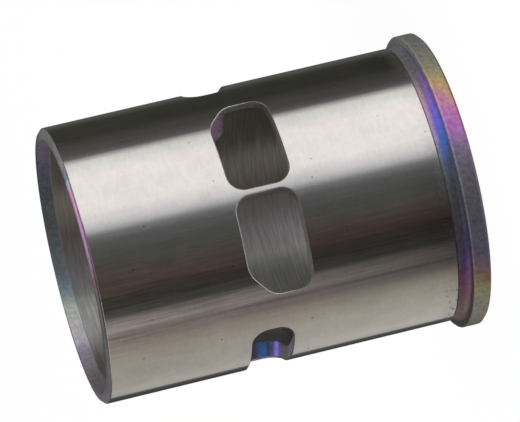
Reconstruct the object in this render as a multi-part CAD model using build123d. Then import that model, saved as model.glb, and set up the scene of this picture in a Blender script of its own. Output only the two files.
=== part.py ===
from build123d import *
from math import tan, radians
import os

# Lengths are in millimetres and angles in degrees. The liner stands on its flange: the flange's
# end face lies at z = 0, the bore runs along Z, the skirt is up and the exhaust faces -Y.

# Tube
bore_diameter = 30.0
wall_thickness = 1.75
overall_length = 46.4

# Flange at the head end
flange_overhang = 1.15
flange_thickness = 2.2
flange_end_break = 0.3
flange_ledge_break = 0.15
bore_end_break = 0.3

# Ground relief between the flange's ledge and the tube
relief_width = 1.5
relief_depth = 0.2
relief_ramp_angle = 18
relief_corner_radius = 0.6

# Skirt end, with a long lead-in for the piston ring
skirt_outer_break = 0.4
lead_in_depth = 0.5
lead_in_length = 1.5

# Exhaust port: two windows with a thin bridge between them, and blended corner cuts
exhaust_roof = 21.0
exhaust_height = 7.45
exhaust_half_chord = 11.55
exhaust_bridge_width = 0.7
exhaust_bridge_radius = 2.0
exhaust_roof_radius = 1.8
exhaust_corner_cut = 2.5
exhaust_cut_blend = 2.5

# Transfer ports at either side, and the boost port behind: their roofs are cones that aim the
# charge at the head
transfer_roof = 23.9
transfer_height = 5.1
transfer_half_chord = 8.1
transfer_corner_radius = 2.0
boost_half_chord = 7.35
boost_corner_radius = 2.0
port_roof_fall = 0.5

# How far each cutter runs past the wall
overrun = 0.9

bore_radius = bore_diameter / 2
tube_radius = bore_radius + wall_thickness
flange_radius = tube_radius + flange_overhang
relief_radius = tube_radius - relief_depth
relief_top = flange_thickness + relief_width
relief_ramp_length = relief_depth / tan(radians(relief_ramp_angle))


def tube_section():
    """Half section of the turned blank, from the bore's head end round to its skirt end."""
    flange_side = Polyline(
        (bore_radius, bore_end_break),
        (bore_radius + bore_end_break, 0),
        (flange_radius - flange_end_break, 0),
        (flange_radius, flange_end_break),
        (flange_radius, flange_thickness - flange_ledge_break),
        (flange_radius - flange_ledge_break, flange_thickness),
        (relief_radius + relief_corner_radius, flange_thickness),
    )
    relief_corner = RadiusArc(
        (relief_radius + relief_corner_radius, flange_thickness),
        (relief_radius, flange_thickness + relief_corner_radius),
        relief_corner_radius,
    )
    tube_side = Polyline(
        (relief_radius, flange_thickness + relief_corner_radius),
        (relief_radius, relief_top - relief_ramp_length),
        (tube_radius, relief_top),
        (tube_radius, overall_length - skirt_outer_break),
        (tube_radius - skirt_outer_break, overall_length),
        (bore_radius + lead_in_depth, overall_length),
        (bore_radius, overall_length - lead_in_length),
        (bore_radius, bore_end_break),
    )
    return make_face(flange_side + relief_corner + tube_side)


def exhaust_window():
    """Cutter of the window at +X: straight walls along -Y, with the outer skirt corner cut off."""
    inner = exhaust_bridge_width / 2
    outer = exhaust_half_chord
    floor = exhaust_roof + exhaust_height
    outline = FilletPolyline(
        (inner, exhaust_roof),
        (outer, exhaust_roof),
        (outer, floor - exhaust_corner_cut),
        (outer - exhaust_corner_cut, floor),
        (inner, floor),
        radius=[
            exhaust_bridge_radius,
            exhaust_roof_radius,
            exhaust_cut_blend,
            exhaust_cut_blend,
            exhaust_bridge_radius,
        ],
        close=True,
    )
    return extrude(Plane.XZ * make_face(outline), tube_radius + overrun)


def slanted_port(half_chord, corner_radius):
    """Cutter of a port at +X: straight side walls, a level floor and a conical roof."""
    floor = transfer_roof + transfer_height
    inside = bore_radius - overrun
    outside = tube_radius + overrun
    fall_per_radius = port_roof_fall / wall_thickness
    section = Polyline(
        (inside, transfer_roof - (tube_radius - inside) * fall_per_radius),
        (outside, transfer_roof + (outside - tube_radius) * fall_per_radius),
        (outside, floor),
        (inside, floor),
        close=True,
    )
    ring = revolve(Plane.XZ * make_face(section), Axis.Z)
    slot = Pos(outside, 0, floor / 2) * Box(2 * outside, 2 * half_chord, 2 * floor)
    cutter = ring & slot
    along_wall = cutter.edges().filter_by(lambda edge: is_corner(edge, half_chord))
    return fillet(along_wall, corner_radius)


def is_corner(edge, half_chord):
    """True for an edge that runs through the wall, where a side wall meets the floor or roof."""
    start, end = edge.position_at(0), edge.position_at(1)
    on_side = abs(abs(start.Y) - half_chord) < overrun and abs(start.Y - end.Y) < overrun
    return on_side and abs(start.X - end.X) > wall_thickness


def cylinder_liner():
    liner = revolve(Plane.XZ * tube_section(), Axis.Z)
    window = exhaust_window()
    transfer = slanted_port(transfer_half_chord, transfer_corner_radius)
    boost = Rot(0, 0, 90) * slanted_port(boost_half_chord, boost_corner_radius)
    for cutter in (window, mirror(window, Plane.YZ), transfer, mirror(transfer, Plane.YZ), boost):
        liner -= cutter
    return liner


os.makedirs("parts", exist_ok=True)
export_step(cylinder_liner(), "parts/cylinder_liner.step")
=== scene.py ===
import math
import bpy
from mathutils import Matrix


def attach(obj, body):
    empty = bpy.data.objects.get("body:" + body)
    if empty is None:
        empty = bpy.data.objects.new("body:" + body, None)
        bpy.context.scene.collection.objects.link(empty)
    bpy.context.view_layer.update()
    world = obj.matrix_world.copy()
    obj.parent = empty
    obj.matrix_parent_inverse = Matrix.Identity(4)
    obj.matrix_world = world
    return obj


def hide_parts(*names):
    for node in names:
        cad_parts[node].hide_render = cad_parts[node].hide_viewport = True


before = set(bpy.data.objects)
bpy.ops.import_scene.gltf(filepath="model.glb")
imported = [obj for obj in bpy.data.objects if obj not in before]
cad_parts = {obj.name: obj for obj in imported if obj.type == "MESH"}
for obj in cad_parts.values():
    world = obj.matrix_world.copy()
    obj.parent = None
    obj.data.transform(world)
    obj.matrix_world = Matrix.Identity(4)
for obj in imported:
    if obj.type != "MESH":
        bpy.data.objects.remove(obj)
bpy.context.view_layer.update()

from types import SimpleNamespace

import bpy
from mathutils import Matrix, Vector

millimetre = 0.001


def addItem(name, data):
    item = bpy.data.objects.new(name, data)
    bpy.context.scene.collection.objects.link(item)
    return item


# The photograph's view: the liner stands on its flange and the camera is rolled onto its side.
photoView = {
    "azimuth": -102.8,          # degrees, from the bore axis towards the camera
    "distance": 0.519,          # metres from the bore axis, level
    "height": 0.114,
    "aim": (0.00125, -0.00028, 0.02279),
    "roll": -103.3,
    "lens": 306.3,
    "sensorWidth": 36.0,
    "clipEnd": 10.0,
}


def makeCamera(values):
    data = bpy.data.cameras.new("photoCamera")
    data.lens = values["lens"]
    data.sensor_fit = "HORIZONTAL"
    data.sensor_width = values["sensorWidth"]
    data.clip_end = values["clipEnd"]
    azimuth = math.radians(values["azimuth"])
    level = Vector((math.cos(azimuth), math.sin(azimuth), 0)) * values["distance"]
    eye = level + Vector((0, 0, values["height"]))
    look = (Vector(values["aim"]) - eye).to_track_quat("-Z", "Y").to_matrix()
    roll = Matrix.Rotation(math.radians(values["roll"]), 3, "Z")
    camera = addItem("photoCamera", data)
    camera.matrix_world = Matrix.Translation(eye) @ (look @ roll).to_4x4()
    bpy.context.scene.camera = camera


# One output socket that takes part in Python sums; each sum adds its Math node to the tree.
class Signal:
    def __init__(self, socket):
        self.socket = socket
        self.tree = socket.id_data

    def node(self, kind, settings=None, sockets=None, output=0):
        new = self.tree.nodes.new(kind)
        for name, value in (settings or {}).items():
            if name == "stops":
                setStops(new.color_ramp, value)
            else:
                setattr(new, name, value)
        for name, value in (sockets or {}).items():
            plug(self.tree, new.inputs[name], value)
        return Signal(new.outputs[output])

    # another output of the same node
    def beside(self, output):
        return Signal(self.socket.node.outputs[output])

    def math(self, operation, *values):
        return self.node("ShaderNodeMath", {"operation": operation}, dict(enumerate(values)))

    def vector(self, operation, *values, output=0):
        sockets = dict(enumerate(values))
        return self.node("ShaderNodeVectorMath", {"operation": operation}, sockets, output)

    def __add__(self, other):
        return self.math("ADD", self, other)

    def __radd__(self, other):
        return self.math("ADD", other, self)

    def __sub__(self, other):
        return self.math("SUBTRACT", self, other)

    def __rsub__(self, other):
        return self.math("SUBTRACT", other, self)

    def __mul__(self, other):
        return self.math("MULTIPLY", self, other)

    def __rmul__(self, other):
        return self.math("MULTIPLY", other, self)

    def __truediv__(self, other):
        return self.math("DIVIDE", self, other)

    def __rtruediv__(self, other):
        return self.math("DIVIDE", other, self)

    def __pow__(self, other):
        return self.math("POWER", self, other)

    def __rpow__(self, other):
        return self.math("POWER", other, self)

    def __abs__(self):
        return self.math("ABSOLUTE", self)


def plug(tree, socket, value):
    if isinstance(value, Signal):
        tree.links.new(value.socket, socket)
    elif isinstance(value, list):
        for part in value:
            plug(tree, socket, part)
    else:
        socket.default_value = value


def setStops(ramp, stops):
    while len(ramp.elements) > 1:
        ramp.elements.remove(ramp.elements[-1])
    for index, (place, colour) in enumerate(stops):
        stop = ramp.elements[0] if index == 0 else ramp.elements.new(place)
        stop.position = place
        stop.color = opaque(colour)


def opaque(colour):
    return (*colour, 1)


def larger(first, second):
    return first.math("MAXIMUM", first, second)


def parts(vector):
    x = vector.node("ShaderNodeSeparateXYZ", None, {0: vector})
    return x, x.beside(1), x.beside(2)


def scaled(vector, factor):
    return vector.node("ShaderNodeVectorMath", {"operation": "SCALE"}, {0: vector, "Scale": factor})


# The liner in millimetres and degrees, turned first, then its ports, then how finely it is made.
linerShape = {
    "boreRadius": 15.0,
    "wall": 1.75,
    "length": 46.4,
    "boreEndBreak": 0.3,
    "flangeOverhang": 1.15,
    "flangeThickness": 2.2,
    "flangeEndBreak": 0.3,
    "flangeLedgeBreak": 0.15,
    "reliefWidth": 1.5,
    "reliefDepth": 0.2,
    "reliefRampAngle": 18.0,
    "reliefCorner": 0.6,
    "skirtBreak": 0.4,
    "leadInDepth": 0.5,
    "leadInLength": 1.5,
    "exhaustRoof": 21.0,
    "exhaustHeight": 7.45,
    "exhaustHalfChord": 11.55,
    "exhaustRoofCorner": 1.8,
    "exhaustCut": 2.5,
    "exhaustCutBlend": 2.5,
    "bridgeWidth": 0.7,
    "bridgeCorner": 2.0,
    "transferRoof": 23.9,
    "transferHeight": 5.1,
    "transferCorner": 2.0,
    "transferHalfChord": 8.1,
    "boostHalfChord": 7.35,
    "roofFall": 0.5,
    "edgeBreak": 0.11,
    # each port's outline, its azimuth and its share of the roof's fall through the wall
    "ports": (
        ("exhaust", -90, 0),
        ("exhaustMirrored", -90, 0),
        ("transfer", 0, 1),
        ("transfer", 180, 1),
        ("boost", 90, 1),
    ),
    # a cutter runs from inside the bore to outside the wall, in shares of their radii
    "cutterStartShare": 0.5,
    "cutterEndShare": 1.1,
    "cutterSteps": 25,
    "turnedSegments": 720,
    "cornerSteps": 10,
    "outlineStep": 0.25,
    "mergeDistance": 0.002,
    "turnedAngle": 12.0,        # a turned edge is sharp beyond this, and a cut one beyond the next
    "cutAngle": 62.0,
}


def tubeRadius(size):
    return size["boreRadius"] + size["wall"]


# The outlines that follow list their corners as (across, up, corner radius). This one is the
# turned profile, from the bore's head end round to its skirt end.
def linerProfile(size):
    bore = size["boreRadius"]
    tube = tubeRadius(size)
    flange = tube + size["flangeOverhang"]
    ledge = size["flangeThickness"]
    relief = tube - size["reliefDepth"]
    reliefTop = ledge + size["reliefWidth"]
    ramp = size["reliefDepth"] / math.tan(math.radians(size["reliefRampAngle"]))
    top = size["length"]
    return [
        (bore, size["boreEndBreak"], 0),
        (bore + size["boreEndBreak"], 0, 0),
        (flange - size["flangeEndBreak"], 0, 0),
        (flange, size["flangeEndBreak"], 0),
        (flange, ledge - size["flangeLedgeBreak"], 0),
        (flange - size["flangeLedgeBreak"], ledge, 0),
        (relief, ledge, size["reliefCorner"]),
        (relief, reliefTop - ramp, 0),
        (tube, reliefTop, 0),
        (tube, top - size["skirtBreak"], 0),
        (tube - size["skirtBreak"], top, 0),
        (bore + size["leadInDepth"], top, 0),
        (bore, top - size["leadInLength"], 0),
    ]


# One exhaust window, with its outer skirt corner cut off.
def exhaustOutline(size):
    inner = size["bridgeWidth"] / 2
    outer = size["exhaustHalfChord"]
    roof = size["exhaustRoof"]
    portFloor = roof + size["exhaustHeight"]
    cut = size["exhaustCut"]
    return [
        (inner, roof, size["bridgeCorner"]),
        (outer, roof, size["exhaustRoofCorner"]),
        (outer, portFloor - cut, size["exhaustCutBlend"]),
        (outer - cut, portFloor, size["exhaustCutBlend"]),
        (inner, portFloor, size["bridgeCorner"]),
    ]


def transferOutline(size, halfChord):
    roof = size["transferRoof"]
    portFloor = roof + size["transferHeight"]
    corner = size["transferCorner"]
    return [
        (-halfChord, roof, corner),
        (halfChord, roof, corner),
        (halfChord, portFloor, corner),
        (-halfChord, portFloor, corner),
    ]


def linerOutlines(size):
    exhaust = exhaustOutline(size)
    return {
        "profile": linerProfile(size),
        "exhaust": exhaust,
        "exhaustMirrored": [(-across, up, corner) for across, up, corner in reversed(exhaust)],
        "transfer": transferOutline(size, size["transferHalfChord"]),
        "boost": transferOutline(size, size["boostHalfChord"]),
    }


# One mesh of closed loops, numbered, that the nodes turn into the liner.
def makeLoops(name, loops, material):
    points, edges, numbers, radii = [], [], [], []
    for number, corners in enumerate(loops):
        first = len(points)
        for step, (across, up, radius) in enumerate(corners):
            points.append((across * millimetre, up * millimetre, 0))
            edges.append((first + step, first + (step + 1) % len(corners)))
            numbers.append(number)
            radii.append(radius * millimetre)
    mesh = bpy.data.meshes.new(name)
    mesh.from_pydata(points, edges, [])
    mesh.attributes.new("loop", "INT", "POINT").data.foreach_set("value", numbers)
    mesh.attributes.new("cornerRadius", "FLOAT", "POINT").data.foreach_set("value", radii)
    mesh.materials.append(material)
    return addItem(name, mesh)


# A geometry tree with named inputs; gives the tree and each input's Signal.
def newGeometryTree(name, inputs, outputs=("Geometry",)):
    tree = bpy.data.node_groups.new(name, "GeometryNodeTree")
    for label, kind in inputs.items():
        tree.interface.new_socket(label, in_out="INPUT", socket_type="NodeSocket" + kind)
    for label in outputs:
        tree.interface.new_socket(label, in_out="OUTPUT", socket_type="NodeSocketGeometry")
    start = tree.nodes.new("NodeGroupInput")
    return tree, {label: Signal(start.outputs[label]) for label in inputs}


def closeTree(tree, results):
    end = tree.nodes.new("NodeGroupOutput")
    for label, value in results.items():
        plug(tree, end.inputs[label], value)


def named(signal, name, kind):
    return signal.node("GeometryNodeInputNamedAttribute", {"data_type": kind}, {"Name": name})


def onDomain(signal, domain, kind):
    settings = {"data_type": kind, "domain": domain}
    return signal.node("GeometryNodeFieldOnDomain", settings, {0: signal})


def levelDirection(place):
    level = place.vector("MULTIPLY", place, (1, 1, 0))
    return level.vector("NORMALIZE", level)


# Height on a roof that is a cone about the bore: pulled down towards the bore, level at the floor.
def slopedHeight(height, radius, given):
    wallShare = (given["Tube Radius"] - radius) / (given["Tube Radius"] - given["Bore Radius"])
    stretch = wallShare * given["Roof Fall"] / given["Height"] + 1
    return given["Floor"] - (given["Floor"] - height) * stretch


# The outline run along X through the wall, with its roof sloped.
def portCutter(given, place):
    outline = given["Outline"]
    start, end = given["Cutter Start"], given["Cutter End"]
    rail = outline.node("GeometryNodeCurvePrimitiveLine", None, {
        "Start": start.node("ShaderNodeCombineXYZ", None, {0: start}),
        "End": end.node("ShaderNodeCombineXYZ", None, {0: end}),
    })
    rail = rail.node("GeometryNodeResampleCurve", None, {0: rail, "Count": given["Cutter Steps"]})
    # the rail's frame turns the outline by half a turn, so it is turned back first
    facing = outline.node("GeometryNodeSetPosition", None, {
        "Geometry": outline, "Position": place.vector("MULTIPLY", place, (-1, -1, 1)),
    })
    cutter = rail.node("GeometryNodeCurveToMesh", None, {
        "Curve": rail, "Profile Curve": facing, "Fill Caps": True,
    })
    x, y, z = parts(place)
    radius = (x * x + y * y) ** 0.5
    return cutter.node("GeometryNodeSetPosition", None, {
        "Geometry": cutter,
        "Position": radius.node("ShaderNodeCombineXYZ", None, {
            0: x, 1: y, 2: slopedHeight(z, radius, given),
        }),
    })


# A bar along the outline where it crosses a cylinder, square with two of its corners radial.
def edgeBar(given, place, radius):
    across, up = parts(place)[:2]
    outward = (radius * radius - across * across) ** 0.5
    edge = outward.node("GeometryNodeSetPosition", None, {
        "Geometry": given["Outline"],
        "Position": outward.node("ShaderNodeCombineXYZ", None, {
            0: outward, 1: across, 2: slopedHeight(up, radius, given),
        }),
    })
    edge = edge.node("GeometryNodeSetCurveNormal", {"mode": "FREE"}, {
        "Curve": edge, "Normal": levelDirection(place),
    })
    squareCorners = 4
    square = edge.node("GeometryNodeCurvePrimitiveCircle", None, {
        "Resolution": squareCorners, "Radius": given["Edge Break"],
    })
    return edge.node("GeometryNodeCurveToMesh", None, {"Curve": edge, "Profile Curve": square})


# One port, made facing +X and turned to its azimuth: a cutter and a bar along each of its edges.
def portTree():
    outputs = ("Cutter", "Outer Bar", "Bore Bar")
    tree, given = newGeometryTree("portCutters", {
        "Outline": "Geometry",
        "Azimuth": "Float",
        "Floor": "Float",
        "Height": "Float",
        "Roof Fall": "Float",
        "Bore Radius": "Float",
        "Tube Radius": "Float",
        "Edge Break": "Float",
        "Cutter Start": "Float",
        "Cutter End": "Float",
        "Cutter Steps": "Int",
    }, outputs)
    place = given["Outline"].node("GeometryNodeInputPosition")
    made = [portCutter(given, place)]
    made += [edgeBar(given, place, given[label]) for label in ("Tube Radius", "Bore Radius")]
    turn = given["Azimuth"].node("ShaderNodeCombineXYZ", None, {2: given["Azimuth"]})
    closeTree(tree, {
        label: part.node("GeometryNodeTransform", None, {"Geometry": part, "Rotation": turn})
        for label, part in zip(outputs, made)
    })
    return tree


# One of the loops as a curve with rounded corners. Compare's inputs 2 and 3 are whole numbers.
def roundedLoop(given, number):
    loops = given["Geometry"]
    here = loops.node("FunctionNodeCompare", {"data_type": "INT", "operation": "EQUAL"}, {
        2: named(loops, "loop", "INT"), 3: number,
    })
    part = loops.node("GeometryNodeSeparateGeometry", None, {0: loops, "Selection": here})
    curve = part.node("GeometryNodeMeshToCurve", None, {0: part})
    return curve.node("GeometryNodeFilletCurve", {"mode": "POLY"}, {
        "Curve": curve,
        "Count": given["Corner Steps"],
        "Radius": named(loops, "cornerRadius", "FLOAT"),
        "Limit Radius": True,
    })


# The profile turned about Z, with its faces marked as turned.
def turnedBlank(given, profile):
    circle = profile.node("GeometryNodeCurvePrimitiveCircle", None, {
        "Resolution": given["Segments"], "Radius": given["Bore Radius"],
    })
    across, up = parts(profile.node("GeometryNodeInputPosition"))[:2]
    profile = profile.node("GeometryNodeSetPosition", None, {
        "Geometry": profile,
        "Position": across.node("ShaderNodeCombineXYZ", None, {
            0: across - given["Bore Radius"], 1: up * -1,
        }),
    })
    blank = circle.node("GeometryNodeCurveToMesh", None, {
        "Curve": circle, "Profile Curve": profile,
    })
    blank = blank.node("GeometryNodeFlipFaces", None, {"Mesh": blank})
    return blank.node("GeometryNodeStoreNamedAttribute", {"data_type": "FLOAT", "domain": "FACE"}, {
        "Geometry": blank, "Name": "turned", "Value": 1.0,
    })


def allPorts(given, size, outlines):
    tree = portTree()
    cutters = []
    for name, azimuth, fallShare in size["ports"]:
        heights = [up * millimetre for across, up, corner in outlines[name]]
        outline = roundedLoop(given, list(outlines).index(name))
        outline = outline.node("GeometryNodeResampleCurve", {"mode": "LENGTH"}, {
            "Curve": outline, "Length": given["Outline Step"],
        })
        port = outline.node("GeometryNodeGroup", {"node_tree": tree}, {
            "Outline": outline,
            "Azimuth": math.radians(azimuth),
            "Floor": max(heights),
            "Height": max(heights) - min(heights),
            "Roof Fall": given["Roof Fall"] * fallShare,
            "Bore Radius": given["Bore Radius"],
            "Tube Radius": given["Tube Radius"],
            "Edge Break": given["Edge Break"],
            "Cutter Start": given["Bore Radius"] * size["cutterStartShare"],
            "Cutter End": given["Tube Radius"] * size["cutterEndShare"],
            "Cutter Steps": size["cutterSteps"],
        })
        cutters += [port, port.beside(1), port.beside(2)]
    return cutters


# An edge is sharp where a turned face meets a cut one, or where it bends far enough.
def sharpEdges(cut, given):
    share = onDomain(named(cut, "turned", "FLOAT"), "EDGE", "FLOAT")
    # the share is 1 between turned faces, 0 between cut ones and a half where they meet
    half, tolerance = 0.5, 0.1
    border = share.math("COMPARE", share, half, tolerance)
    bothTurned = share.math("GREATER_THAN", share, half + tolerance)
    fine, coarse = given["Turned Angle"], given["Cut Angle"]
    limit = coarse + (fine - coarse) * bothTurned
    angle = cut.node("GeometryNodeInputMeshEdgeAngle")
    return larger(border, angle.math("GREATER_THAN", angle, limit))


# A turned face takes the normals of its true cylinder or cone, and a cut one keeps its own.
def trueNormals(cut):
    corner = cut.node("GeometryNodeInputPosition")
    own = cut.node("GeometryNodeInputNormal")
    centre = onDomain(corner, "FACE", "FLOAT_VECTOR")
    flat = onDomain(own.beside(1), "FACE", "FLOAT_VECTOR")
    outward = flat.vector("DOT_PRODUCT", flat, levelDirection(centre), output=1)
    level = scaled(levelDirection(corner), outward)
    rise = flat.vector("MULTIPLY", flat, (0, 0, 1))
    return corner.node("GeometryNodeSwitch", {"input_type": "VECTOR"}, {
        "Switch": named(cut, "turned", "FLOAT"),
        "False": own,
        "True": level.vector("ADD", level, rise),
    })


# The whole liner: the profile is turned, the ports are cut, and the faces are shaded.
def linerTree(size, outlines):
    tree, given = newGeometryTree("turnedLiner", {
        "Geometry": "Geometry",
        "Bore Radius": "Float",
        "Tube Radius": "Float",
        "Roof Fall": "Float",
        "Edge Break": "Float",
        "Segments": "Int",
        "Corner Steps": "Int",
        "Outline Step": "Float",
        "Turned Angle": "Float",
        "Cut Angle": "Float",
        "Merge Distance": "Float",
        "Steel": "Material",
    })
    blank = turnedBlank(given, roundedLoop(given, list(outlines).index("profile")))
    cut = blank.node("GeometryNodeMeshBoolean", {"operation": "DIFFERENCE", "solver": "MANIFOLD"}, {
        "Mesh 1": blank, "Mesh 2": allPorts(given, size, outlines),
    })
    cut = cut.node("GeometryNodeMergeByDistance", None, {
        "Geometry": cut, "Distance": given["Merge Distance"],
    })
    smooth = cut.node("GeometryNodeSetShadeSmooth", {"domain": "EDGE"}, {
        0: cut, "Selection": sharpEdges(cut, given), "Shade Smooth": False,
    })
    shaded = smooth.node("GeometryNodeSetMeshNormal", {"mode": "FREE", "domain": "CORNER"}, {
        "Mesh": smooth, "Custom Normal": trueNormals(cut),
    })
    real = shaded.node("GeometryNodeRealizeInstances", None, {"Geometry": shaded})
    done = real.node("GeometryNodeSetMaterial", None, {
        "Geometry": real, "Material": given["Steel"],
    })
    closeTree(tree, {"Geometry": done})
    return tree


# Runs a geometry tree on an item and keeps the outcome as a plain mesh.
def applyTree(item, tree, settings, name):
    modifier = item.modifiers.new(tree.name, "NODES")
    modifier.node_group = tree
    sockets = {socket.name: socket.identifier for socket in tree.interface.items_tree
               if socket.in_out == "INPUT"}
    for label, value in settings.items():
        modifier[sockets[label]] = value
    graph = bpy.context.evaluated_depsgraph_get()
    mesh = bpy.data.meshes.new_from_object(item.evaluated_get(graph), depsgraph=graph)
    mesh.name = name
    item.modifiers.remove(modifier)
    item.data = mesh
    item.name = name


def makeLiner(size, material):
    outlines = linerOutlines(size)
    item = makeLoops("linerLoops", outlines.values(), material)
    applyTree(item, linerTree(size, outlines), {
        "Bore Radius": size["boreRadius"] * millimetre,
        "Tube Radius": tubeRadius(size) * millimetre,
        "Roof Fall": size["roofFall"] * millimetre,
        "Edge Break": size["edgeBreak"] * millimetre,
        "Segments": size["turnedSegments"],
        "Corner Steps": size["cornerSteps"],
        "Outline Step": size["outlineStep"] * millimetre,
        "Turned Angle": math.radians(size["turnedAngle"]),
        "Cut Angle": math.radians(size["cutAngle"]),
        "Merge Distance": size["mergeDistance"] * millimetre,
        "Steel": material,
    }, "liner")
    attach(item, "root")
    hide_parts("cylinder_liner")
    return item


# A new material with an empty tree, and its object coordinates.
def newMaterial(name):
    material = bpy.data.materials.new(name)
    material.use_nodes = True
    material.node_tree.nodes.clear()
    coords = material.node_tree.nodes.new("ShaderNodeTexCoord")
    return material, Signal(coords.outputs["Object"])


def finishMaterial(material, surface):
    out = material.node_tree.nodes.new("ShaderNodeOutputMaterial")
    plug(material.node_tree, out.inputs["Surface"], surface)
    return material


# 0 below the edge and 1 above it, with a slope of the given width between.
def above(value, edge, width):
    return value.node("ShaderNodeMath", {"operation": "ADD", "use_clamp": True}, {
        0: (value - edge) / width, 1: 0.5,
    })


def under(value, edge, width):
    return 1 - above(value, edge, width)


# How far round from an azimuth a point lies, clockwise from above and down the photo: 0.5 at the
# azimuth, and 0 or 1 opposite it.
def turnShare(place, azimuth):
    x, y = parts(place)[:2]
    turn = math.radians(azimuth)
    along = x * math.cos(turn) + y * math.sin(turn)
    across = x * math.sin(turn) - y * math.cos(turn)
    angle = across.math("ARCTAN2", across, along)
    return angle / (2 * math.pi) + 0.5


# A colour read from stops, which are in degrees of turn unless a low and a high end are given.
def rampOver(share, stops, low=-180, high=180):
    placed = [((degrees - low) / (high - low), colour) for degrees, colour in stops]
    return share.node("ShaderNodeValToRGB", {"stops": placed}, {"Fac": share})


def heightTint(height, stops):
    low, high = stops[0][0], stops[-1][0]
    return rampOver((height - low) / (high - low), stops, low, high)


# A share that changes with the turn, read from a grey ramp.
def shareOver(turn, stops):
    grey = [(degrees, (share, share, share)) for degrees, share in stops]
    return rampOver(turn, grey)


# A Mix node's inputs 6 and 7 and its output 2 are its colours.
def mixColour(factor, first, second):
    sockets = {0: factor, 6: first, 7: second}
    return factor.node("ShaderNodeMix", {"data_type": "RGBA"}, sockets, output=2)


def mixNumber(factor, first, second):
    return factor * (second - first) + first


def lightened(colour, amount):
    shade = amount.node("ShaderNodeCombineColor", None, {0: amount, 1: amount, 2: amount})
    settings = {"data_type": "RGBA", "blend_type": "MULTIPLY"}
    return colour.node("ShaderNodeMix", settings, {0: 1.0, 6: colour, 7: shade}, output=2)


# Borders of the liner's zones for its finish, in millimetres, and how softly they blend.
zones = {
    "soft": 0.06,
    "rampSoft": 0.3,
    "skirtSoft": 0.12,
    "wideSoft": 1.0,
    "boreRadius": 15.1,
    "flangeRadius": 17.25,
    "flangeTop": 2.12,
    # where the flange's broken edge carries its painted highlight
    "edgeHighlightRadius": 17.7,
    "edgeHighlightHeight": 2.0,
    "rimSlantFrom": 1.1,
    "ledgeRadius": 17.05,
    "reliefMiddle": 2.65,
    "rampStart": 3.1,
    "reliefTop": 3.8,
    "reliefReach": 5.4,
    "skirtBreak": 46.05,
    "skirtEdge": 46.2,
    "leadInEnd": 44.9,
    "leadInRadius": 15.6,
    "portRadius": 16.55,
    "portMiddle": 25.6,
    "roofEnd": 24.15,
    "cornerEnd": 6.6,
    "exhaustSide": 11.8,
    "exhaustMiddle": 23.6,
    "middleReach": 3.0,
    "shadedFrom": 7.0,
    "shadedReach": 5.0,
    "shadedBelow": 21.8,
    "bridgeEnd": 2.2,
}


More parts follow.
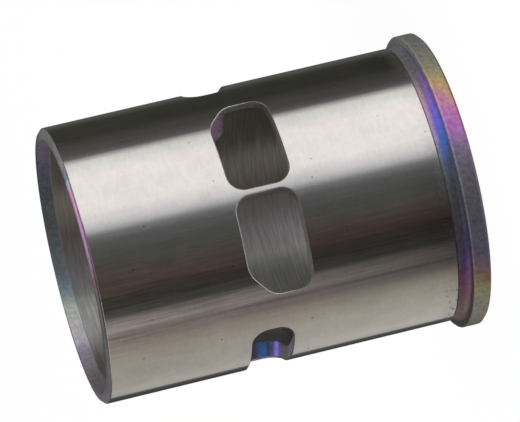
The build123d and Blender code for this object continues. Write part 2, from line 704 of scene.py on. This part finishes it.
# The ground steel of the tube and bore, and the heat tints of the rougher surfaces. A tint's stops
# are in degrees from the zero azimuth, down the photo, or in millimetres of height.
steel = {
    "zeroAzimuth": -102.8,
    "tubeColour": (0.80, 0.765, 0.745),
    "tubeRoughness": 0.06,
    "tubeAnisotropy": 0.6,
    "boreRoughness": 0.42,
    # the bore's colour by turn: a brownish tint with painted light and shade
    "boreTintAndShade": (
        (-180, (0.98, 0.96, 1.0)),
        (-172, (1.0, 0.97, 1.0)),
        (-165, (0.76, 0.70, 0.70)),
        (-156, (0.70, 0.66, 0.60)),
        (-146, (0.66, 0.63, 0.58)),
        (-138, (0.46, 0.46, 0.41)),
        (-128, (0.42, 0.42, 0.37)),
        (-112, (0.45, 0.42, 0.38)),
        (-60, (0.55, 0.53, 0.50)),
        (60, (0.58, 0.56, 0.54)),
        (126, (0.50, 0.49, 0.48)),
        (135, (0.46, 0.455, 0.45)),
        (145, (0.52, 0.53, 0.51)),
        (154, (0.44, 0.45, 0.45)),
        (160, (0.50, 0.51, 0.49)),
        (165, (0.70, 0.71, 0.67)),
        (169, (0.70, 0.70, 0.69)),
        (174, (0.84, 0.83, 0.86)),
        (180, (0.98, 0.96, 1.0)),
    ),
    # painted light: the bore is lighter near the skirt, by turn
    "boreEndHeight": 38.5,
    "boreEndReach": 7.0,
    "boreEndLightShare": ((-180, 0), (126, 0), (138, 0.25), (150, 0.75), (158, 0.8), (166, 0), (180, 0)),
    "oxideRoughness": 0.5,
    "oxideMetallic": 0.8,
    "oxideGrazing": (0.6, 0.6, 0.6),
    "rimTint": (
        (-180, (0.40, 0.39, 0.37)),
        (-78, (0.46, 0.46, 0.46)),
        (-64, (0.46, 0.46, 0.43)),
        (-50, (0.43, 0.41, 0.34)),
        (-43, (0.47, 0.41, 0.24)),
        (-38, (0.61, 0.43, 0.21)),
        (-32, (0.61, 0.30, 0.35)),
        (-26, (0.55, 0.22, 0.47)),
        (-19, (0.50, 0.21, 0.56)),
        (-14, (0.42, 0.23, 0.50)),
        (-8, (0.27, 0.23, 0.31)),
        (8, (0.23, 0.22, 0.27)),
        (20, (0.21, 0.21, 0.26)),
        (30, (0.18, 0.20, 0.29)),
        (36, (0.25, 0.18, 0.26)),
        (41, (0.34, 0.21, 0.18)),
        (47, (0.40, 0.36, 0.19)),
        (55, (0.38, 0.37, 0.30)),
        (66, (0.38, 0.35, 0.31)),
        (80, (0.30, 0.30, 0.28)),
        (180, (0.40, 0.39, 0.37)),
    ),
    "ledgeTint": (
        (-180, (0.30, 0.28, 0.30)),
        (-72, (0.50, 0.50, 0.51)),
        (-46, (0.36, 0.35, 0.35)),
        (-30, (0.37, 0.30, 0.42)),
        (-18, (0.34, 0.30, 0.50)),
        (-7, (0.28, 0.29, 0.42)),
        (2, (0.23, 0.24, 0.28)),
        (24, (0.17, 0.17, 0.23)),
        (36, (0.20, 0.14, 0.19)),
        (58, (0.19, 0.15, 0.15)),
        (84, (0.22, 0.19, 0.18)),
        (180, (0.30, 0.28, 0.30)),
    ),
    "reliefTint": (
        (-180, (0.30, 0.29, 0.33)),
        (-75, (0.42, 0.42, 0.48)),
        (-58, (0.28, 0.27, 0.30)),
        (-47, (0.26, 0.20, 0.33)),
        (-40, (0.33, 0.18, 0.50)),
        (-31, (0.27, 0.17, 0.70)),
        (-22, (0.18, 0.20, 0.74)),
        (-12, (0.12, 0.24, 0.74)),
        (-6, (0.14, 0.18, 0.30)),
        (2, (0.15, 0.16, 0.18)),
        (18, (0.13, 0.13, 0.16)),
        (29, (0.11, 0.10, 0.21)),
        (37, (0.16, 0.10, 0.30)),
        (44, (0.28, 0.13, 0.28)),
        (55, (0.32, 0.17, 0.23)),
        (72, (0.34, 0.26, 0.26)),
        (180, (0.30, 0.29, 0.33)),
    ),
    "rampTint": (
        (-180, (0.36, 0.35, 0.36)),
        (-78, (0.46, 0.45, 0.48)),
        (-58, (0.36, 0.36, 0.35)),
        (-47, (0.42, 0.37, 0.40)),
        (-40, (0.74, 0.54, 0.54)),
        (-31, (0.76, 0.52, 0.68)),
        (-18, (0.58, 0.48, 0.76)),
        (-11, (0.36, 0.41, 0.60)),
        (-5, (0.27, 0.28, 0.33)),
        (12, (0.19, 0.19, 0.21)),
        (28, (0.17, 0.17, 0.21)),
        (37, (0.21, 0.18, 0.27)),
        (44, (0.28, 0.14, 0.24)),
        (55, (0.32, 0.21, 0.24)),
        (70, (0.38, 0.32, 0.32)),
        (180, (0.36, 0.35, 0.36)),
    ),
    "skirtTintAndGlint": (
        (-180, (0.27, 0.32, 0.34)),
        (-160, (0.16, 0.19, 0.19)),
        (-142, (0.13, 0.15, 0.18)),
        (-124, (0.17, 0.15, 0.24)),
        (-108, (0.27, 0.23, 0.28)),
        (-84, (0.47, 0.47, 0.48)),
        (-60, (0.42, 0.42, 0.44)),
        (-40, (0.43, 0.41, 0.43)),
        (-37, (0.20, 0.40, 0.60)),
        # a painted white glint
        (-34.5, (0.78, 0.78, 0.88)),
        (-30, (0.92, 0.50, 0.84)),
        (-12, (0.90, 0.50, 0.90)),
        (0, (0.72, 0.44, 0.64)),
        (12, (0.36, 0.27, 0.31)),
        (36, (0.25, 0.24, 0.26)),
        (60, (0.31, 0.30, 0.33)),
        (84, (0.45, 0.41, 0.46)),
        (120, (0.37, 0.34, 0.37)),
        (132, (0.36, 0.33, 0.38)),
        (140, (0.41, 0.35, 0.50)),
        (145, (0.54, 0.51, 0.59)),
        (153, (0.62, 0.60, 0.60)),
        (160, (0.62, 0.66, 0.58)),
        (167, (0.44, 0.52, 0.56)),
        (172, (0.30, 0.40, 0.50)),
        (180, (0.27, 0.32, 0.34)),
    ),
    # by height, from a port's roof to its floor
    "transferTint": (
        (23.3, (0.24, 0.22, 0.30)),
        (23.48, (0.30, 0.27, 0.37)),
        (23.58, (0.20, 0.18, 0.22)),
        (23.68, (0.21, 0.20, 0.16)),
        (23.9, (0.21, 0.20, 0.17)),
        (24.02, (0.20, 0.15, 0.46)),
        (24.2, (0.33, 0.26, 0.92)),
        (24.34, (0.38, 0.34, 1.0)),
        (24.44, (0.28, 0.27, 0.88)),
        (24.58, (0.11, 0.13, 0.44)),
        (24.8, (0.12, 0.13, 0.27)),
        (25.1, (0.08, 0.10, 0.26)),
        (25.5, (0.10, 0.24, 0.60)),
        (26.0, (0.09, 0.21, 0.53)),
        (26.5, (0.09, 0.12, 0.25)),
        (26.9, (0.11, 0.11, 0.14)),
        (29.0, (0.14, 0.13, 0.14)),
    ),
    "farTransferColour": (0.19, 0.14, 0.17),
    "shadedShare": 0.5,
    "bridgeShade": 0.45,
    "exhaustTint": (
        (20.9, (0.20, 0.17, 0.16)),
        (22.2, (0.16, 0.15, 0.15)),
        (23.6, (0.20, 0.20, 0.20)),
        (25.2, (0.28, 0.25, 0.24)),
        (26.2, (0.33, 0.29, 0.29)),
        (27.4, (0.40, 0.34, 0.37)),
        (28.6, (0.34, 0.29, 0.30)),
    ),
    "portMetallic": 0.35,
    "edgeColour": (0.72, 0.71, 0.72),
    "shadedEdgeColour": (0.26, 0.24, 0.23),
    # the flange's broken edge beside the ledge carries a painted highlight, and the skirt's outer edge
    # painted shade, by turn
    "edgeHighlightShare": ((-180, 0.1), (-64, 0.1), (-46, 0.4), (-8, 0.45), (16, 0.3), (60, 0.1), (180, 0.1)),
    "skirtEdgeShadeShare": ((-180, 0), (-42, 0), (-36, 0.6), (24, 0.68), (44, 0.1), (180, 0)),
    # a tint's borders lean by degrees for each millimetre of height, and wander by degrees
    "rimSlant": 2.0,
    "reliefSlant": 12.0,
    "tintWander": 9.0,
    # in the ports the borders wander by millimetres, and the tints stretch along the roofs
    "portWander": 0.06,
    "roofStretch": 0.08,
    # patches in the tints, the dark line on the relief's ramp, the ledge's radial streaks and the
    # bore's turning lines
    "tintPatches": 0.6,
    "rampLineWidth": 0.17,
    "rampLineDepth": 0.62,
    "ledgeStreaks": 0.5,
    "ledgeStreakCount": 330,
    "turningLines": 0.58,
    # the tube's axial streaks: grinding grain, and painted reflection streaks strongest where the tube
    # reflects its dark band, by turn and weaker towards the flange, and its other marks
    "reflectionStreakShare": ((-180, 0.1), (-66, 0.3), (-48, 0.3), (-40, 0.04), (-16, 0.05), (-6, 0.2), (8, 0.5),
                    (20, 0.9), (32, 0.7), (38, 0.2), (52, 0.12), (62, 0.08), (180, 0.1)),
    "streakLoss": 0.6,
    "smudges": 0.12,
    "turnedMarks": 0.10,
    "blotches": 0.10,
    # darker beside the relief, by turn
    "reliefDarkeningShare": ((-180, 0.1), (-92, 0.28), (-64, 0.26), (-54, 0), (-14, 0), (0, 0.2), (30, 0.26),
                  (42, 0.05), (180, 0.1)),
    # small pits: cells per millimetre, the share of cells that hold one, the size in cells, and the
    # strength of the notches in their outlines and how many fit in a cell
    "pitCells": 0.9,
    "pitShare": 0.15,
    "pitSize": 0.9,
    "finePitCells": 2.4,
    "finePitSize": 0.62,
    "finePitShare": ((-180, 0.3), (-66, 0.3), (-52, 0.05), (-24, 0.05), (-12, 0.45), (16, 0.35),
                     (40, 0.5), (58, 1.0), (84, 0.9), (180, 0.3)),
    "pitRagged": 0.35,
    "pitNotches": 7,
    "pitSoft": 0.08,
    "pitDepth": 0.5,
    # the haze beside the relief, in millimetres of height
    "hazeEdge": 4.6,
    "hazeWidth": 1.8,
    "hazeWander": 2.2,
    "hazeShare": ((-180, 0.4), (-66, 0.4), (-54, 0.14), (-26, 0.16), (-14, 0.34), (2, 0.2),
                  (12, 0.08), (34, 0.08), (44, 0.2), (180, 0.4)),
    "hazeFrom": 4.0,
    "hazeGrey": 0.6,
    "hazeColour": (0.34, 0.33, 0.30),
    # a painted reflection: a thin dark axial line where a reflected band ends, in degrees of turn
    "reflectionLineTurn": 33.4,
    "reflectionLineWidth": 1.2,
    "reflectionLineDepth": 0.22,
    # each noise's cells per millimetre across and along the bore, and its detail
    "grains": {
        "tintWander": (0.45, 0.7, 5.0),
        "portWander": (0.5, 0.5, 3.0),
        "tintPatches": (2.0, 2.0, 6.0),
        "streaks": (3.2, 0.14, 6.0),
        "smudges": (0.12, 0.12, 3.0),
        "turnedMarks": (0.9, 2.6, 6.0),
        "blotches": (0.6, 0.45, 3.0),
        "dirt": (0.9, 0.6, 5.0),
        "turningLines": (0.3, 5.0, 5.0),
        "haze": (1.1, 0.8, 6.0),
    },
}


# Noise about 0, from about -1 to 1, in cells per millimetre across and along the bore.
def grain(measured, across, along, detail=3.0, roughness=0.6):
    stretched = measured.vector("MULTIPLY", measured, (across, across, along))
    noise = stretched.node("ShaderNodeTexNoise", None, {
        "Vector": stretched, "Scale": 1.0, "Detail": detail, "Roughness": roughness,
    })
    return (noise - 0.5) * 2


# The same round the axis only: radial streaks, this many in a turn.
def radialStreaks(turn, count, detail=3.0, roughness=0.7):
    noise = turn.node("ShaderNodeTexNoise", {"noise_dimensions": "1D"}, {
        "W": turn * count, "Scale": 1.0, "Detail": detail, "Roughness": roughness,
    })
    return (noise - 0.5) * 2


# Small pits with ragged outlines, in some of the cells of a Voronoi pattern.
def pitsIn(measured, values, cells, share, size):
    cell = measured.node("ShaderNodeTexVoronoi", None, {"Vector": measured, "Scale": cells})
    chance = parts(cell.beside("Color"))[0]
    notches = cells * values["pitNotches"]
    outline = grain(measured, notches, notches) * values["pitRagged"] + 1
    return above((chance + share - 1) * size * outline - cell, 0, values["pitSoft"])


# Where a point lies, in millimetres and as a share of a turn, and whether its face was turned.
def placeOnLiner(place, values):
    measured = scaled(place, 1 / millimetre)
    x, y, z = parts(measured)
    return SimpleNamespace(
        measured=measured,
        x=x,
        y=y,
        z=z,
        radius=(x * x + y * y) ** 0.5,
        turn=turnShare(place, values["zeroAzimuth"]),
        turned=place.node("ShaderNodeAttribute", {"attribute_name": "turned"}, output="Fac"),
    )


# How much a point lies in each of the liner's zones, from 0 to 1.
def zonesAt(at, zone):
    soft = zone["soft"]
    reach = zone["reliefReach"]
    port = (1 - at.turned) * under(at.radius, zone["portRadius"], soft)
    leadIn = under(at.radius, zone["leadInRadius"], soft)
    leadIn = leadIn * above(at.z, zone["leadInEnd"], zone["rampSoft"])
    return SimpleNamespace(
        bore=under(at.radius, zone["boreRadius"], soft),
        belowTube=under(at.z, zone["reliefTop"], soft),
        rim=above(at.radius, zone["flangeRadius"], soft) * under(at.z, zone["flangeTop"], soft),
        ledge=above(at.radius, zone["ledgeRadius"], soft),
        ramp=above(at.z, zone["rampStart"], zone["rampSoft"]),
        skirt=larger(above(at.z, zone["skirtBreak"], soft), leadIn),
        nearRelief=under(at.z, zone["reliefTop"] + reach / 2, reach),
        port=port,
        portEdge=(1 - at.turned) - port,
        exhaust=under(at.y, 0, zone["wideSoft"]) * under(abs(at.x), zone["exhaustSide"], soft),
    )


# The tints of the flange, the relief and the skirt's end, with a painted highlight on the flange's
# edge, and painted shade and a painted glint at the skirt's end.
def turnedTint(at, on, values, zone):
    wander = grain(at.measured, *values["grains"]["tintWander"]) * (values["tintWander"] / 360)
    turn = at.turn + wander
    rimTurn = turn + (at.z - zone["rimSlantFrom"]) * (values["rimSlant"] / 360)
    reliefTurn = turn + (zone["reliefMiddle"] - at.z) * (values["reliefSlant"] / 360)
    relief = rampOver(reliefTurn, values["reliefTint"])
    colour = mixColour(on.ramp, relief, rampOver(turn, values["rampTint"]))
    inHaze = above(at.z, values["hazeFrom"], zone["rampSoft"]) * values["hazeGrey"]
    colour = mixColour(inHaze, colour, opaque(values["hazeColour"]))

    streaks = radialStreaks(at.turn, values["ledgeStreakCount"]) * values["ledgeStreaks"] + 1
    colour = mixColour(on.ledge, colour, lightened(rampOver(turn, values["ledgeTint"]), streaks))
    colour = mixColour(on.rim, colour, rampOver(rimTurn, values["rimTint"]))
    soft = zone["soft"]
    # a painted highlight on the flange's broken edge beside the ledge
    edgeHighlight = above(at.radius, zone["edgeHighlightRadius"], soft) * above(at.z, zone["edgeHighlightHeight"], soft)
    colour = lightened(colour, edgeHighlight * shareOver(at.turn, values["edgeHighlightShare"]) + 1)

    # painted shade on the outer half of the skirt's break
    outerEdge = under(at.z, zone["skirtEdge"], zone["skirtSoft"])
    shade = 1 - outerEdge * shareOver(at.turn, values["skirtEdgeShadeShare"])
    # the skirt's tint, with its painted glint
    return mixColour(on.skirt, colour, lightened(rampOver(turn, values["skirtTintAndGlint"]), shade))


# The tints through the ports. Heights are levelled first, because a roof falls through the wall.
def portTint(at, on, values, zone, size):
    portFloor = size["transferRoof"] + size["transferHeight"]
    fall = size["roofFall"] / size["wall"] / size["transferHeight"]
    height = at.z + (portFloor - at.z) * (tubeRadius(size) - at.radius) * fall
    # on the roof the tint goes on from the rounded corner towards the port's middle
    onRoof = under(height, zone["roofEnd"], zone["soft"]) * (zone["cornerEnd"] - abs(at.y))
    height = height - larger(onRoof, 0) * values["roofStretch"] * (1 - on.exhaust)
    height = height + grain(at.measured, *values["grains"]["portWander"]) * values["portWander"]
    wide = zone["wideSoft"]
    transfer = mixColour(above(at.x, 0, wide), heightTint(height, values["transferTint"]),
                         opaque(values["farTransferColour"]))

    nearRoof = under(at.z, zone["shadedBelow"], wide) * values["shadedShare"]
    lit = 1 - above(at.x, zone["shadedFrom"], zone["shadedReach"]) * nearRoof
    # the bridge's wall towards -X lies in its shade
    atBridge = under(abs(at.x), zone["bridgeEnd"], wide) * under(at.x, 0, zone["soft"])
    lit = lit * (1 - atBridge * values["bridgeShade"])
    return mixColour(on.exhaust, transfer, lightened(heightTint(height, values["exhaustTint"]), lit))


# The ports' broken edges: dark towards the flange and bright towards the skirt.
def portEdgeTint(at, on, values, zone):
    middle = mixNumber(on.exhaust, zone["portMiddle"], zone["exhaustMiddle"])
    towardsSkirt = above(at.z, middle, zone["middleReach"])
    return mixColour(towardsSkirt, opaque(values["shadedEdgeColour"]), opaque(values["edgeColour"]))


# How deep the pits are: fine ones beside the relief and sparse ones all over the outside.
def pitsAt(at, on, values):
    share = on.nearRelief * on.nearRelief * shareOver(at.turn, values["finePitShare"])
    fine = pitsIn(at.measured, values, values["finePitCells"], share, values["finePitSize"])
    sparse = pitsIn(at.measured, values, values["pitCells"], values["pitShare"], values["pitSize"])
    return larger(fine, sparse) * values["pitDepth"] * (1 - on.bore)


def oxideShader(at, on, pits, values, zone, size):
    colour = turnedTint(at, on, values, zone)
    colour = mixColour(on.port, colour, portTint(at, on, values, zone, size))
    colour = mixColour(on.portEdge, colour, portEdgeTint(at, on, values, zone))
    patches = grain(at.measured, *values["grains"]["tintPatches"]) * values["tintPatches"] + 1
    pastLine = above(at.z, zone["reliefTop"] - values["rampLineWidth"], zone["soft"])
    rampLine = pastLine * on.belowTube * (1 - on.bore)
    patches = patches * (1 - rampLine * values["rampLineDepth"])
    hazePits = pits * above(at.z, zone["reliefTop"], zone["soft"]) * (1 - on.skirt) * at.turned
    return colour.node("ShaderNodeBsdfPrincipled", None, {
        "Base Color": lightened(colour, patches * (1 - hazePits)),
        "Metallic": mixNumber(on.port, values["oxideMetallic"], values["portMetallic"]),
        "Roughness": values["oxideRoughness"],
        "Specular Tint": opaque(values["oxideGrazing"]),
    })


# The tube's marks, as a share of its colour: axial streaks, partly painted reflection, smudges, turned
# marks and darkening beside the relief.
def tubeMarks(at, on, values, size):
    grains = values["grains"]
    strength = 1 - (1 - at.z / size["length"]) * values["streakLoss"]
    # painted reflection streaks, strongest by turn where the tube reflects its dark band
    strength = strength * shareOver(at.turn, values["reflectionStreakShare"])
    marks = grain(at.measured, *grains["streaks"]) * strength
    for name in ("smudges", "turnedMarks", "blotches"):
        marks = marks + grain(at.measured, *grains[name]) * values[name]
    # darker beside the relief, by turn
    dirt = grain(at.measured, *grains["dirt"]) + 1
    return marks - dirt * shareOver(at.turn, values["reliefDarkeningShare"]) * on.nearRelief


# a painted reflection: a thin dark axial line where a reflected band ends
def paintedReflectionLine(at, on, values):
    place = (at.turn - (values["reflectionLineTurn"] / 360 + 0.5)) * (360 / values["reflectionLineWidth"])
    return larger((1 - abs(place)) * values["reflectionLineDepth"] * (1 - on.bore), 0)


# The bare steel, bright outside and turned in the bore. The quarter turn blurs its reflections
# more along the axis than round it.
def groundShader(at, on, pits, values, size):
    marks = tubeMarks(at, on, values, size)
    lines = grain(at.measured, *values["grains"]["turningLines"]) * values["turningLines"]
    shade = (1 + mixNumber(on.bore, marks, lines)) * (1 - pits) * (1 - paintedReflectionLine(at, on, values))
    # painted light in the bore, by turn, lighter towards the skirt
    skirtwardLight = above(at.z, values["boreEndHeight"], values["boreEndReach"])
    skirtwardLight = skirtwardLight * shareOver(at.turn, values["boreEndLightShare"]) + 1
    boreColour = lightened(rampOver(at.turn, values["boreTintAndShade"]), skirtwardLight)
    colour = mixColour(on.bore, opaque(values["tubeColour"]), boreColour)
    quarterTurn = 0.25
    return colour.node("ShaderNodeBsdfPrincipled", None, {
        "Base Color": lightened(colour, shade),
        "Metallic": 1.0,
        "Roughness": mixNumber(on.bore, values["tubeRoughness"], values["boreRoughness"]),
        "Anisotropic": values["tubeAnisotropy"],
        "Anisotropic Rotation": quarterTurn,
    })


# The oxide covers the flange, the relief, the skirt's end and the ports, and thins out beside the
# relief as a haze.
def oxideShare(at, on, values):
    height = at.z + grain(at.measured, *values["grains"]["haze"]) * values["hazeWander"]
    haze = under(height, values["hazeEdge"], values["hazeWidth"])
    haze = haze * shareOver(at.turn, values["hazeShare"])
    outside = larger(on.belowTube, haze) * (1 - on.bore)
    return larger(larger(outside, on.skirt), 1 - at.turned)


def steelMaterial(values, zone, size):
    material, place = newMaterial("groundSteel")
    at = placeOnLiner(place, values)
    on = zonesAt(at, zone)
    pits = pitsAt(at, on, values)
    surface = place.node("ShaderNodeMixShader", None, {
        0: oxideShare(at, on, values),
        1: groundShader(at, on, pits, values, size),
        2: oxideShader(at, on, pits, values, zone, size),
    })
    return finishMaterial(material, surface)


# The tent as the metal sees it. Its wall's panels are given in degrees of turn from the camera's
# azimuth, clockwise from above, so that the panels near 0 stand behind the camera.
tent = {
    "radius": 0.6,
    "top": 1.8,
    "bottom": -1.1,
    "segments": 180,
    "panels": (
        (-180, (0.094, 0.096, 0.090)),
        (-157, (0.090, 0.092, 0.085)),
        (-143, (0.043, 0.044, 0.037)),
        (-118, (0.042, 0.043, 0.037)),
        (-97, (0.088, 0.088, 0.085)),
        (-91.5, (0.13, 0.13, 0.13)),
        (-84.5, (0.75, 0.76, 0.74)),
        (-76, (0.88, 0.90, 0.88)),
        (-68, (1.0, 0.97, 0.96)),
        (-38, (0.96, 0.95, 0.94)),
        (-27, (0.70, 0.70, 0.72)),
        (-23, (0.52, 0.53, 0.56)),
        (-18, (0.19, 0.20, 0.205)),
        (-12, (0.105, 0.11, 0.112)),
        (0, (0.075, 0.081, 0.073)),
        (16, (0.080, 0.068, 0.061)),
        (26, (0.080, 0.058, 0.053)),
        (33, (0.050, 0.044, 0.040)),
        (40, (0.042, 0.039, 0.036)),
        (48.5, (0.070, 0.069, 0.064)),
        (53, (0.215, 0.197, 0.187)),
        (62, (0.33, 0.30, 0.28)),
        (65, (0.245, 0.215, 0.205)),
        (73, (0.235, 0.205, 0.19)),
        (80, (0.29, 0.265, 0.225)),
        (104, (0.41, 0.395, 0.35)),
        (137, (0.50, 0.49, 0.46)),
        (147, (0.46, 0.455, 0.435)),
        (150, (0.13, 0.13, 0.125)),
        (155, (0.07, 0.07, 0.068)),
        (164, (0.05, 0.05, 0.048)),
        (180, (0.094, 0.096, 0.090)),
    ),
    # share of the light lost at the heights that the flange's end and the skirt's end mirror
    "heights": (-0.121, -0.035),
    "dimLow": (
        (-180, 0),
        (-148, 0),
        (-134, 0.26),
        (-98, 0.2),
        (-88, 0),
        (10, 0),
        (17, 0.2),
        (24, 0.36),
        (31, 0.48),
        (39, 0.36),
        (44, 0.42),
        (50, 0.67),
        (61, 0.72),
        (70, 0.58),
        (78, 0.27),
        (88, 0.05),
        (100, 0),
        (180, 0),
    ),
    "dimHigh": ((-180, 0), (84, 0), (100, 0.10), (116, 0.20), (134, 0.17), (148, 0.1), (180, 0)),
    "slant": 28.0,              # degrees that the panels lean for each metre of height
    "slantFrom": -0.078,
    "roofColour": (0.20, 0.20, 0.21),
    "floorColour": (0.75, 0.74, 0.72),
}


# The panels lean with height, and some are dimmer towards one end.
def wallColour(place, values, cameraAzimuth):
    height = parts(place)[2]
    lean = (height - values["slantFrom"]) * (values["slant"] / 360)
    turn = turnShare(place, cameraAzimuth) + lean
    low, high = values["heights"]
    up = above(height, (low + high) / 2, high - low)
    lost = mixNumber(up, shareOver(turn, values["dimLow"]), shareOver(turn, values["dimHigh"]))
    return lightened(rampOver(turn, values["panels"]), 1 - lost)


# A glowing panel whose colour is a plain one or a function of the place.
def glowMaterial(name, colour):
    material, place = newMaterial(name)
    colour = colour(place) if callable(colour) else opaque(colour)
    shader = place.node("ShaderNodeEmission", None, {"Color": colour, "Strength": 1.0})
    return finishMaterial(material, shader)


def makeTent(values, cameraAzimuth):
    count = values["segments"]
    low, high = [], []
    for step in range(count):
        angle = 2 * math.pi * step / count
        x, y = values["radius"] * math.cos(angle), values["radius"] * math.sin(angle)
        low.append((x, y, values["bottom"]))
        high.append((x, y, values["top"]))
    faces = [(step, (step + 1) % count, (step + 1) % count + count, step + count)
             for step in range(count)]
    faces += [tuple(range(count)), tuple(range(count, 2 * count))]
    mesh = bpy.data.meshes.new("tent")
    mesh.from_pydata(low + high, [], faces)

    def panels(place):
        return wallColour(place, values, cameraAzimuth)

    mesh.materials.append(glowMaterial("tentWall", panels))
    mesh.materials.append(glowMaterial("tentFloor", values["floorColour"]))
    mesh.materials.append(glowMaterial("tentRoof", values["roofColour"]))
    mesh.polygons[count].material_index = 1
    mesh.polygons[count + 1].material_index = 2
    wall = addItem("tent", mesh)
    wall.visible_camera = False
    wall.visible_diffuse = False
    wall.visible_shadow = False
    wall.visible_transmission = False


floor = {
    "halfWidth": 1.5,
    "colour": (0.93, 0.93, 0.93),
    "glow": 0.94,
}


# 1 for rays from the camera and for those that metal and glass send on.
def seenDirectly(tree):
    path = Signal(tree.nodes.new("ShaderNodeLightPath").outputs["Is Camera Ray"])
    seen = larger(path, path.beside("Is Glossy Ray"))
    return larger(seen, path.beside("Is Transmission Ray"))


def floorMaterial(values):
    material, place = newMaterial("paleFloor")
    diffuse = place.node("ShaderNodeBsdfDiffuse", None, {"Color": opaque(values["colour"])})
    white = place.node("ShaderNodeEmission", None, {"Color": (1, 1, 1, 1), "Strength": 1.0})
    glow = seenDirectly(material.node_tree) * values["glow"]
    surface = place.node("ShaderNodeMixShader", None, {0: glow, 1: diffuse, 2: white})
    return finishMaterial(material, surface)


def makeFloor(values):
    half = values["halfWidth"]
    corners = [(-half, -half, 0), (half, -half, 0), (half, half, 0), (-half, half, 0)]
    mesh = bpy.data.meshes.new("floor")
    mesh.from_pydata(corners, [], [(0, 1, 2, 3)])
    mesh.materials.append(floorMaterial(values))
    plane = addItem("floor", mesh)
    plane.visible_glossy = False


light = {
    "worldLevel": 0.8,
    "lampSize": 0.8,
    "lampPower": 6.0,
    "lampPlace": (-0.4, -0.6, 1.0),
}


# White where it is seen directly, and weaker as a light.
def makeWorld(values):
    world = bpy.data.worlds.new("studio")
    world.use_nodes = True
    world.node_tree.nodes.clear()
    seen = seenDirectly(world.node_tree)
    level = mixNumber(seen, values["worldLevel"], 1)
    sky = seen.node("ShaderNodeBackground", None, {"Color": (1, 1, 1, 1), "Strength": level})
    out = world.node_tree.nodes.new("ShaderNodeOutputWorld")
    plug(world.node_tree, out.inputs["Surface"], sky)
    bpy.context.scene.world = world


def makeLamp(values):
    data = bpy.data.lights.new("softLamp", "AREA")
    data.size = values["lampSize"]
    data.energy = values["lampPower"]
    lamp = addItem("softLamp", data)
    lamp.location = values["lampPlace"]
    lamp.rotation_euler = (-Vector(values["lampPlace"])).to_track_quat("-Z", "Y").to_euler()
    lamp.visible_glossy = False


makeCamera(photoView)
print("camera placed")

liner = makeLiner(linerShape, steelMaterial(steel, zones, linerShape))
print("liner turned and ported:", len(liner.data.polygons), "faces")

makeTent(tent, photoView["azimuth"])
makeFloor(floor)
makeWorld(light)
makeLamp(light)
bpy.context.scene.view_settings.view_transform = "Standard"
print("studio built")
